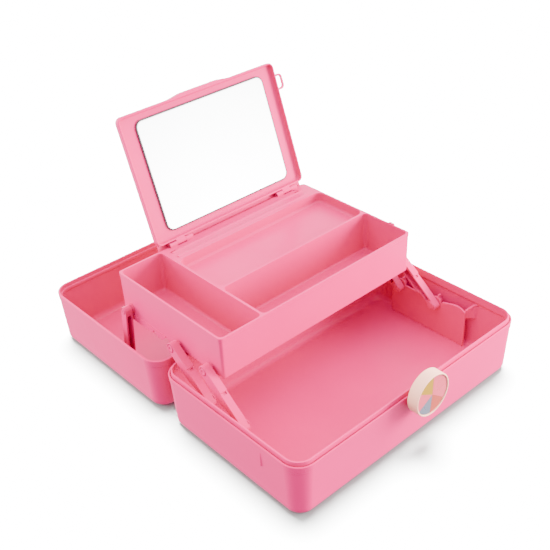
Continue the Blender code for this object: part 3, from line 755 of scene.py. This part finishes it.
def arm_outlines(length):
    """Arm with a slim foot and a deeper upper part, and its channel's outline."""
    step_z = ARM_TOP - ARM_STEP
    radius = (ARM_TOP + ARM_DEEP) / 2
    bar = [(x, z, 0) for x, z in arc(-ARM_NOSE, 0, ARM_FOOT, 90, 270, 20)]
    bar += [(BEND_START, -ARM_FOOT, 8.0), (BEND_END, -ARM_DEEP, 8.0)]
    bar += [(x, z, 0) for x, z in arc(length, ARM_TOP - radius, radius, -90, 90, 24)]
    bar += [(ARM_STEP_Y, ARM_TOP, 0.6), (ARM_STEP_Y - 0.8, step_z, 0.6), (8.0, step_z, 6.0)]
    skin = 1.8
    foot, low, high = skin - ARM_FOOT, skin - ARM_DEEP, step_z - 2.0
    near, far = HEAD_R + 2.0, length - HEAD_R - 2.0
    channel = [(near, foot, 1.0), (BEND_START, foot, 6.0), (BEND_END, low, 6.0),
               (far, low, 1.6), (far, high, 1.6), (near, high, 1.6)]
    return rounded(bar, 5, closed=True), channel


def make_bar(name, outlines, length, side, eye, start):
    """Bar in its foot's coordinates: channel from X start, sunk eye around the upper pin."""
    outline, channel = outlines
    bm = bmesh.new()
    prism_x(bm, outline, side * ARM_X0, side * ARM_X1)
    bar = to_object(bm, name)
    bm = bmesh.new()
    prism_x(bm, rounded(channel, 5, closed=True), side * start, side * (ARM_X1 - 1.8))
    combine(bar, bm, "DIFFERENCE")
    soften(bar, BAR_EDGE, 3, 50)
    bm = bmesh.new()
    for y in (0.0, length):
        bore_x(bm, y, 0.0, PIN_BORE, side * (ARM_X0 - 2), side * (ARM_X1 + 2))
    combine(bar, bm, "DIFFERENCE")
    bm = bmesh.new()
    bore_x(bm, length, 0.0, eye, side * (ARM_X1 - EYE_DEPTH), side * (ARM_X1 + 2), 48)
    combine(bar, bm, "DIFFERENCE")
    return bar


def notch_web(arm, side):
    """Small dark slot across the web at the foot of its step."""
    step_z = ARM_TOP - ARM_STEP
    bm = bmesh.new()
    box(bm, side * (ARM_X0 + 1.6), side * (ARM_X1 - 2.6), ARM_STEP_Y - 3.6, ARM_STEP_Y - 0.9,
        step_z - 1.3, step_z + 1.0)
    combine(arm, bm, "DIFFERENCE")


def eye_rivet(name, y, z, x_tail, side, radius):
    """Moulded rivet whose round head sits in the bar's sunk ring, with a dimple."""
    seat = ARM_X1 - EYE_DEPTH + 0.2
    top = ARM_X1 + 0.5
    profile = [(x_tail, PIN_R - 0.3), (x_tail + 0.3, PIN_R), (seat, PIN_R), (seat, radius)]
    profile += [(top - 0.5, radius), (top - 0.15, radius - 0.15), (top, radius - 0.5),
                (top, radius - 1.5), (top - 0.2, radius - 1.9), (top - 0.8, 1.7),
                (top - 0.9, 0.4)]
    bm = bmesh.new()
    turned(bm, [(side * x, r) for x, r in profile], (0.0, y, z), 40)
    return to_object(bm, name)


def inner_pin(name, y, z, x_far, side):
    """Pivot pin whose thin head is on the case's inner side."""
    x_head = ARM_X0 - GAP
    profile = [(x_head - 1.0, 0.6), (x_head - 1.0, HEAD_R - 0.6), (x_head - 0.8, HEAD_R - 0.15),
               (x_head - 0.5, HEAD_R), (x_head, HEAD_R), (x_head, PIN_R), (x_far - 0.5, PIN_R),
               (x_far, PIN_R - 0.5)]
    bm = bmesh.new()
    turned(bm, [(side * x, r) for x, r in profile], (0.0, y, z), 36)
    return to_object(bm, name)


def make_arms():
    reach = TRAY_PIVOT - FRONT_PIVOT
    length = reach.length
    angle = math.atan2(reach.z, reach.y)
    for row, pivot in (("front", FRONT_PIVOT), ("rear", REAR_PIVOT)):
        for word, side in SIDES.items():
            tag = row + "_" + word
            centre = Vector((0.0, pivot.y, pivot.z))
            arm = make_bar("arm_moulding_" + tag, arm_outlines(length), length, side,
                           EYE_R, ARM_X0 - 1.0)
            notch_web(arm, side)
            turn_into_place(arm, centre, angle)
            dress(arm, "pink", "arm_" + tag, ["arm_" + tag])
            pin = inner_pin("arm_pin_" + tag, pivot.y, pivot.z, BASE_PIN_END, side)
            dress(pin, "pink", "base", ["base_pin_" + tag])
            top = pivot + reach
            tail = TRAY_HALF - TRAY_WALL - 0.9
            rivet = eye_rivet("tray_pin_" + tag, top.y, top.z, tail, side, ARM_RIVET_R)
            dress(rivet, "pink", "tray", ["tray_rivet_" + tag])


def make_links():
    opened = LINK_TOP - Vector((0.0, LINK_PIVOT.y, LINK_PIVOT.z))
    angle = math.atan2(opened.z, opened.y)
    centre = Vector((0.0, LINK_PIVOT.y, LINK_PIVOT.z))
    for word, side in SIDES.items():
        link = make_bar("link_moulding_" + word, link_outlines(opened.length), opened.length,
                        side, LINK_EYE_R, ARM_X0 + 1.8)
        turn_into_place(link, centre, angle)
        dress(link, "pink", "link_" + word, ["lid_link_" + word])
        rivet = eye_rivet("link_top_pin_" + word, LINK_TOP.y, LINK_TOP.z, ARM_X0 + 0.1, side,
                          LINK_RIVET_R)
        dress(rivet, "pink", "link_" + word, ["link_tray_pin_" + word])
        pin = inner_pin("link_foot_pin_" + word, LINK_PIVOT.y, LINK_PIVOT.z, LINK_PIN_END, side)
        dress(pin, "pink", "lid", ["link_lid_pin_" + word])


# ---------------------------------------------------------------- tray

def compartment(bm, x0, x1, y0, y1, floor, corner, fillet):
    """Compartment cutter with rounded corners and a rounded floor edge."""
    profile = rounded([(fillet + 1.0, floor, 0), (0.6, floor, fillet), (0.0, TRAY_Z1 + 6.0, 0)], 7)
    tray_shape(bm, x0, x1, y0, y1, corner, profile, 8)


def mirror_spans(of_mirror):
    spans = []
    for centre in (MIRROR_X0 + 30.0, MIRROR_X1 - 30.0):
        if of_mirror:
            spans.append((centre - 6.0, centre + 6.0))
        else:
            spans += [(centre - 16.0, centre - 6.3), (centre + 6.3, centre + 16.0)]
    return spans


def tray_skirt(bm):
    """Thin skirt under each end, with a triangular notch between the arms."""
    outline = [(20.0, TRAY_Z0 + 3.0)]
    outline += rounded([(20.0, TRAY_Z0 + 1.0, 0), (26.0, SKIRT_Z + 0.2, 5.0),
                        (34.5, SKIRT_Z - 0.2, 0.8), (41.0, SKIRT_Z + 5.6, 0.5),
                        (43.5, SKIRT_Z + 0.4, 0.8), (52.0, SKIRT_Z, 8.0), (84.0, SKIRT_Z, 12.0),
                        (94.0, TRAY_Z0 + 1.0, 0)], 6)
    outline.append((94.0, TRAY_Z0 + 3.0))
    for side in SIDES.values():
        prism_x(bm, outline, side * (TRAY_HALF - TRAY_WALL - 0.4), side * (TRAY_HALF - 0.5))


def mirror_lugs(bm):
    """Tray's share of the mirror hinge."""
    r = MIRROR_KNUCKLE_R
    lug = [(MIRROR_HINGE.y - r, TRAY_Z1 - 1.0), (TRAY_BACK - 0.4, TRAY_Z1 - 1.0),
           (TRAY_BACK - 0.4, TRAY_Z1)]
    lug += arc(MIRROR_HINGE.y, MIRROR_HINGE.z, r, -30, 180, 16)
    for x0, x1 in mirror_spans(False):
        prism_x(bm, lug, x0, x1)


def ledge_bead(bm, y):
    """Low raised bead along the rear ledge."""
    low, top = TRAY_Z1 - 0.2, TRAY_Z1 + 1.1
    bead = [(y + 3.4, TRAY_Z1 - 1.0)]
    bead += rounded([(y + 3.4, low, 0), (y + 1.2, top, 1.5), (y - 1.2, top, 1.5),
                     (y - 3.4, low, 0)], 5)
    bead.append((y - 3.4, TRAY_Z1 - 1.0))
    prism_x(bm, bead, DIVIDER_X + 7.0, TRAY_HALF - 16.0)


def hollow_tray(tray):
    """Three compartments from above, and the space under the rear shelf from below."""
    half, wall = TRAY_HALF, TRAY_WALL
    floor = TRAY_Z0 + wall
    bm = bmesh.new()
    left, right = DIVIDER_X - DIVIDER_HALF, DIVIDER_X + DIVIDER_HALF
    compartment(bm, -half + wall, left, TRAY_FRONT + wall, TRAY_BACK - wall, floor, 5.0, 7.0)
    compartment(bm, right, half - wall, TRAY_FRONT + wall, CROSS_Y - CROSS_HALF, floor, 5.0, 5.0)
    compartment(bm, right, half - wall, CROSS_Y + CROSS_HALF, LEDGE_Y, SHELF_Z, 9.0, 7.0)
    combine(tray, bm, "DIFFERENCE")
    bm = bmesh.new()
    underside = [(CROSS_Y + wall, TRAY_Z0 - 9.0), (TRAY_BACK - wall, TRAY_Z0 - 9.0),
                 (TRAY_BACK - wall, TRAY_Z1 - wall), (LEDGE_Y + wall, TRAY_Z1 - wall),
                 (LEDGE_Y + wall, SHELF_Z - wall), (CROSS_Y + wall, SHELF_Z - wall)]
    prism_x(bm, underside, DIVIDER_X + wall, half - wall)
    combine(tray, bm, "DIFFERENCE")


def notch_tray(tray):
    """Room for the mirror's knuckles, and two shallow slots in the ledge."""
    bm = bmesh.new()
    notch = MIRROR_HINGE.z - MIRROR_KNUCKLE_R - 0.4
    for x0, x1 in mirror_spans(True):
        box(bm, x0 - GAP, x1 + GAP, MIRROR_HINGE.y - 3.2, TRAY_BACK + 1.0, notch, notch + 9.0)
    combine(tray, bm, "DIFFERENCE")
    bm = bmesh.new()
    low, high = TRAY_Z1 - 1.2, TRAY_Z1 + 2.0
    for x0 in (DIVIDER_X + 6.0, 112.0):
        x1 = x0 + 7.0
        prism_y(bm, [(x0, low), (x1, low), (x1, high), (x0, high)], 84.0, 86.6)
    combine(tray, bm, "DIFFERENCE")


def make_tray():
    half = TRAY_HALF
    bm = bmesh.new()
    outside = rounded([(4.0, TRAY_Z0, 0), (1.1, TRAY_Z0, 1.6), (0.45, TRAY_Z1 - 4.0, 0.3),
                       (0.0, TRAY_Z1 - 3.5, 0.3), (0.0, TRAY_Z1, 0.0)], 4)
    tray_shape(bm, -half, half, TRAY_FRONT, TRAY_BACK, 4.0, outside, 8)
    tray = to_object(bm, "tray_moulding")
    bm = bmesh.new()
    tray_skirt(bm)
    # small block at the top of the right end wall
    box(bm, half - 1.0, half + 1.2, -52.0, -45.0, TRAY_Z1 - 5.0, TRAY_Z1 + 1.2)
    combine(tray, bm, "UNION")
    bm = bmesh.new()
    mirror_lugs(bm)
    for y in BEADS_Y:
        ledge_bead(bm, y)
    combine(tray, bm, "UNION")
    hollow_tray(tray)
    notch_tray(tray)
    soften(tray, 0.45, 2, 45)
    bm = bmesh.new()
    bore_x(bm, MIRROR_HINGE.y, MIRROR_HINGE.z, MIRROR_BORE, MIRROR_X0, MIRROR_X1, 20)
    for side in SIDES.values():
        for pivot in (FRONT_PIVOT, REAR_PIVOT):
            top = pivot + TRAY_PIVOT - FRONT_PIVOT
            bore_x(bm, top.y, top.z, PIN_BORE, side * (half - 4.0), side * (half + 2.0))
    combine(tray, bm, "DIFFERENCE")
    bm = bmesh.new()
    for side in SIDES.values():
        bore_x(bm, LINK_TOP.y, LINK_TOP.z, 5.0, side * (half - 1.5), side * (ARM_X0 - GAP), 32)
    combine(tray, bm, "UNION")
    dress(tray, "pink", "tray", ["tray"])


# ---------------------------------------------------------------- mirror

def frame_shape(bm, profile, radius=7.0, steps=10):
    tray_shape(bm, MIRROR_X0, MIRROR_X1, MIRROR_KNUCKLE_R + 0.6, MIRROR_H, radius, profile, steps)


def mirror_loop():
    """Flat pull loop at the mirror's right side."""
    inner, half = MIRROR_X1 + 1.6, LOOP_HALF - LOOP_BAR
    bm = bmesh.new()
    outline = rounded([(MIRROR_X1 - 1.0, LOOP_S - LOOP_HALF, 0),
                       (MIRROR_X1 + LOOP_REACH, LOOP_S - LOOP_HALF, 5.0),
                       (MIRROR_X1 + LOOP_REACH, LOOP_S + LOOP_HALF, 5.0),
                       (MIRROR_X1 - 1.0, LOOP_S + LOOP_HALF, 0)], 8, closed=True)
    extrude(bm, [(x, s, -6.9) for x, s in outline], (0, 0, 2.8))
    loop = to_object(bm, "loop")
    bm = bmesh.new()
    outer = MIRROR_X1 + LOOP_REACH - LOOP_BAR
    hole = rounded([(inner, LOOP_S - half, 1.0), (outer, LOOP_S - half, 3.0),
                    (outer, LOOP_S + half, 3.0), (inner, LOOP_S + half, 1.0)], 6, closed=True)
    extrude(bm, [(x, s, -9.0) for x, s in hole], (0, 0, 8.0))
    combine(loop, bm, "DIFFERENCE")
    soften(loop, 0.5, 2, 50)
    return loop


def mirror_tab():
    """Finger tab along the mirror's top edge, ramped at both ends."""
    top = MIRROR_H + 2.2
    outline = rounded([(-16.0, MIRROR_H - 1.5, 0), (-14.0, MIRROR_H - 0.4, 6.0),
                       (4.0, top, 24.0), (56.0, top, 24.0),
                       (74.0, MIRROR_H - 0.4, 6.0), (76.0, MIRROR_H - 1.5, 0)], 8)
    bm = bmesh.new()
    extrude(bm, [(x, s, 0.9 - MIRROR_T) for x, s in outline], (0, 0, MIRROR_T - 1.8))
    tab = to_object(bm, "tab")
    soften(tab, 0.7, 3, 50)
    return tab


def mirror_pan():
    """Shallow pan of the mirror in its own plane, with knuckles, loop, tab and lower lip."""
    back = -MIRROR_T
    skin = 2.0
    bm = bmesh.new()
    frame_shape(bm, rounded([(6.0, back, 0), (0.3, back, 2.2), (0.0, 0.0, 0.7), (skin, 0.0, 0.6),
                             (skin + 0.3, back + 2.2, 4.0), (9.0, back + 2.2, 0)], 7))
    pan = to_object(bm, "mirror_pan")
    bm = bmesh.new()
    r = MIRROR_KNUCKLE_R
    knuckle = arc(0, 0, r, 60, 330, 20) + [(r + 2.0, -3.4), (r + 2.0, -0.6)]
    for x0, x1 in mirror_spans(True):
        prism_x(bm, knuckle, x0, x1)
    combine(pan, bm, "UNION")
    join(pan, mirror_loop())
    join(pan, mirror_tab())
    bm = bmesh.new()
    lip = rounded([(-4.6, back, 0.8), (-4.6, back + 2.4, 0.8), (5.0, back + 2.4, 0),
                   (5.0, back + 0.4, 0)], 4, closed=True)
    prism_x(bm, lip, MIRROR_X0 + 3.0, MIRROR_X1 - 3.0)
    combine(pan, bm, "UNION")
    bm = bmesh.new()
    bore_x(bm, 0.0, 0.0, MIRROR_BORE, MIRROR_X0, MIRROR_X1, 20)
    combine(pan, bm, "DIFFERENCE")
    return pan


def glass_plate(low, high):
    bm = bmesh.new()
    tray_shape(bm, *GLASS, GLASS_R, rounded([(2.0, low, 0), (0.0, low, 0.3), (0.0, high, 0.5),
                                             (2.0, high, 0)], 4), 12)
    return to_object(bm, "mirror_plate")


def glass_ring(low, high):
    """Dark band round the glass, closed on itself."""
    x0, x1, s0, s1 = GLASS
    section = rounded([(-1.3, low + 0.1, 0.2), (-1.3, high - 0.5, 0.3), (-0.2, high - 0.2, 0.3),
                       (-0.2, low + 0.1, 0.2)], 3, closed=True)
    bm = bmesh.new()
    rows = []
    for inset, n in section:
        points = rounded_rectangle(x0 + inset, x1 - inset, s0 + inset, s1 - inset,
                                   GLASS_R - inset, 12)
        rows.append([bm.verts.new((x, s, n)) for x, s in points])
    for start, end in zip(rows, rows[1:] + rows[:1]):
        skin_between(bm, start, end)
    return to_object(bm, "mirror_edge_ring")


def make_mirror():
    low = 2.5 - MIRROR_T
    high = low + GLASS_T
    for piece, material, slot, replaced in (
            (mirror_pan(), "pink", "case_plastic", ["mirror_frame"]),
            (glass_plate(low, high), "mirror", "mirror", ["mirror_glass"]),
            (glass_ring(low, high), "edge", "mirror", [])):
        turn_into_place(piece, Vector((0.0, MIRROR_HINGE.y, MIRROR_HINGE.z)), MIRROR_TILT)
        dress(piece, material, "mirror", replaced)


# ---------------------------------------------------------------- latch

def make_latch():
    face = LATCH_FRONT + 2.2
    bm = bmesh.new()
    outside = rounded([(LATCH_BACK, 1.0, 0), (LATCH_BACK, LATCH_R, 0.9),
                       (LATCH_FRONT, LATCH_R - 0.3, 1.1), (LATCH_FRONT, LATCH_RECESS_R, 0.5),
                       (face, LATCH_RECESS_R - 0.1, 0.2), (face, 1.0, 0)], 6)
    turned(bm, outside, (0.0, 0.0, LATCH_Z), 96, along="y")
    latch = to_object(bm, "latch_moulding")
    # slots for the base's lugs, then the catch pocket
    bm = bmesh.new()
    open_y = LATCH_BACK + 3.0
    for side in SIDES.values():
        box(bm, side * (LUG_X0 - GAP), side * (LUG_X1 + GAP), LUG_SLOT_Y, open_y,
            LATCH_AXIS.z - 20.0, LATCH_AXIS.z + 3.3)
    box(bm, -CATCH_HALF, CATCH_HALF, LATCH_BACK - 4.2, open_y, CATCH_Z0, CATCH_Z1)
    combine(latch, bm, "DIFFERENCE")
    bm = bmesh.new()
    bore_x(bm, LATCH_AXIS.y, LATCH_AXIS.z, LATCH_BORE, -14.0, 14.0, 20)
    combine(latch, bm, "DIFFERENCE")
    dress(latch, "cream", "latch", ["latch_body"])
    make_inlay()


def make_inlay():
    """Colour-block disc of five plain sectors."""
    radius = LATCH_RECESS_R - 0.4
    for name, material, start, end in SECTORS:
        rim = arc(0, LATCH_Z, radius, start + SECTOR_GAP, end - SECTOR_GAP, 26)
        bm = bmesh.new()
        prism_y(bm, [(0.0, LATCH_Z)] + rim, LATCH_FRONT + 1.9, LATCH_FRONT + 1.1)
        piece = to_object(bm, name)
        soften(piece, 0.12, 2, 50)
        replaced = ["latch_inlay"] if name == "inlay_rose" else []
        dress(piece, material, "latch", replaced)


# ---------------------------------------------------------------- carry handle

def make_handle():
    y0, y1 = HANDLE_LOW.y, HANDLE_AXIS.y + HANDLE_T
    z0, z1 = HANDLE_AXIS.z - HANDLE_T, HANDLE_AXIS.z + HANDLE_T
    bm = bmesh.new()
    tray_shape(bm, -HANDLE_HALF, HANDLE_HALF, y0, y1, 14.0,
               rounded([(4.0, z0, 0), (0.0, z0, 2.6), (0.0, z1, 2.6), (4.0, z1, 0)], 7), 12)
    handle = to_object(bm, "handle_moulding")
    bm = bmesh.new()
    inner = HANDLE_HALF - HANDLE_BAR
    tray_shape(bm, -inner, inner, y0 + HANDLE_BAR, y1 + 12.0, 8.0,
               rounded([(-4.0, z0 - 0.5, 0), (-2.4, z0, 0), (0.0, z0 + 2.6, 2.0),
                        (0.0, z1 - 2.6, 2.0), (-2.4, z1, 0), (-4.0, z1 + 0.5, 0)], 5), 12)
    combine(handle, bm, "DIFFERENCE")
    bm = bmesh.new()
    reach = HANDLE_HALF + 2
    bore_x(bm, HANDLE_AXIS.y, HANDLE_AXIS.z, HANDLE_BORE, -reach, reach)
    combine(handle, bm, "DIFFERENCE")
    dress(handle, "pink", "handle", ["carry_handle"])


# ---------------------------------------------------------------- kept nodes

def paint_kept_nodes():
    """Steel pins keep their modelled shape and get drawn-wire steel."""
    for name, node in frame["nodes"].items():
        if name.startswith(("hinge_pin", "mirror_pin", "handle_pin", "latch_pin")):
            node.data.materials.clear()
            node.data.materials.append(MATERIALS["steel"])


# ---------------------------------------------------------------- studio

def make_floor():
    bm = bmesh.new()
    bmesh.ops.create_grid(bm, x_segments=8, y_segments=8, size=FLOOR_HALF)
    floor = to_object(bm, "studio_floor")
    floor.location.z = -FLOOR_DROP * MM
    n = Nodes("studio_paper")
    n.link(n.ramp(n.noise(2.0, 2.0), [(0.3, (0.197, 0.203, 0.200)), (0.7, (0.203, 0.209, 0.206))]),
           n.shader.inputs["Base Color"])
    n.shader.inputs["Roughness"].default_value = 0.9
    n.shader.inputs["Specular IOR Level"].default_value = 0.1
    floor.data.materials.append(n.material)
    floor.visible_diffuse = False
    floor.visible_glossy = False
    light_the_paper(floor)


def light_the_paper(floor):
    """Broad soft light for the white paper alone, so that it stays white around the case."""
    sun = bpy.data.lights.new("paper_light", "SUN")
    sun.angle = math.radians(PAPER_ANGLE)
    sun.energy = PAPER_POWER
    obj = bpy.data.objects.new("paper_light", sun)
    bpy.context.scene.collection.objects.link(obj)
    obj.rotation_euler = Vector(PAPER_FROM).to_track_quat("Z", "Y").to_euler()
    papers = bpy.data.collections.new("paper_light_receivers")
    papers.objects.link(floor)
    obj.light_linking.receiver_collection = papers


def area_light(name, place, target, size, power):
    light = bpy.data.lights.new(name, "AREA")
    light.shape = "DISK"
    light.size = size
    light.energy = power
    obj = bpy.data.objects.new(name, light)
    bpy.context.scene.collection.objects.link(obj)
    obj.location = place
    direction = Vector(target) - Vector(place)
    obj.rotation_euler = direction.to_track_quat("-Z", "Y").to_euler()
    obj.visible_glossy = False


def math_node(tree, operation, first, second):
    node = tree.nodes.new("ShaderNodeMath")
    node.operation = operation
    for socket, value in zip(node.inputs, (first, second)):
        if isinstance(value, float):
            socket.default_value = value
        else:
            tree.links.new(value, socket)
    return node.outputs["Value"]


def surroundings(tree, direction):
    """Brightness that depends on the height only."""
    split = tree.nodes.new("ShaderNodeSeparateXYZ")
    tree.links.new(direction, split.inputs["Vector"])
    place = math_node(tree, "MULTIPLY_ADD", split.outputs["Z"], 0.5)
    place.node.inputs[2].default_value = 0.5
    ramp = tree.nodes.new("ShaderNodeValToRGB")
    tree.links.new(place, ramp.inputs["Fac"])
    top = max(value for _, value in SURROUND)
    elements = ramp.color_ramp.elements
    while len(elements) < len(SURROUND):
        elements.new(0.5)
    for element, (height, value) in zip(elements, SURROUND):
        element.position = height / 2 + 0.5
        element.color = (value / top, value / top, value / top, 1.0)
    return math_node(tree, "MULTIPLY", ramp.outputs["Color"], top)


def lobe(tree, direction, settings):
    """Soft round lobe: strength times the cosine to a power."""
    towards, sharpness, strength = settings
    dot = tree.nodes.new("ShaderNodeVectorMath")
    dot.operation = "DOT_PRODUCT"
    dot.inputs[1].default_value = Vector(towards).normalized()
    tree.links.new(direction, dot.inputs[0])
    front = math_node(tree, "MAXIMUM", dot.outputs["Value"], 0.0)
    return math_node(tree, "MULTIPLY", math_node(tree, "POWER", front, sharpness), strength)


def make_light():
    """White room over a bright table, with soft lights on the camera's left and right."""
    world = bpy.data.worlds.new("studio")
    world.use_nodes = True
    tree = world.node_tree
    background = tree.nodes["Background"]
    direction = tree.nodes.new("ShaderNodeTexCoord").outputs["Generated"]
    kept = math_node(tree, "SUBTRACT", 1.0, lobe(tree, direction, SHADE))
    room = math_node(tree, "MULTIPLY", surroundings(tree, direction), kept)
    total = math_node(tree, "ADD", room, lobe(tree, direction, GLOW))
    background.inputs["Color"].default_value = (1.0, 1.0, 1.0, 1.0)
    tree.links.new(total, background.inputs["Strength"])
    bpy.context.scene.world = world
    for name, settings in SOFTBOXES.items():
        area_light(name, *settings)


def make_camera():
    """Seen from the front left, looking down on the open case."""
    yaw, pitch, roll = (math.radians(angle) for angle in CAMERA_TURN)
    forward = Vector((math.sin(yaw) * math.cos(pitch), math.cos(yaw) * math.cos(pitch),
                      -math.sin(pitch)))
    level_right = Vector((math.cos(yaw), -math.sin(yaw), 0.0))
    level_up = level_right.cross(forward)
    right = math.cos(roll) * level_right + math.sin(roll) * level_up
    up = -math.sin(roll) * level_right + math.cos(roll) * level_up
    lens = bpy.data.cameras.new("camera")
    lens.sensor_width = 36.0
    lens.lens = CAMERA_LENS
    lens.clip_start = 0.01
    camera = bpy.data.objects.new("camera", lens)
    bpy.context.scene.collection.objects.link(camera)
    turn = Matrix((right, up, -forward)).transposed()
    camera.matrix_world = Matrix.Translation(CAMERA_PLACE + START * MM) @ turn.to_4x4()
    bpy.context.scene.camera = camera


make_camera()
make_base()
make_lid()
make_arms()
make_links()
make_tray()
make_mirror()
make_latch()
make_handle()
paint_kept_nodes()
make_floor()
make_light()
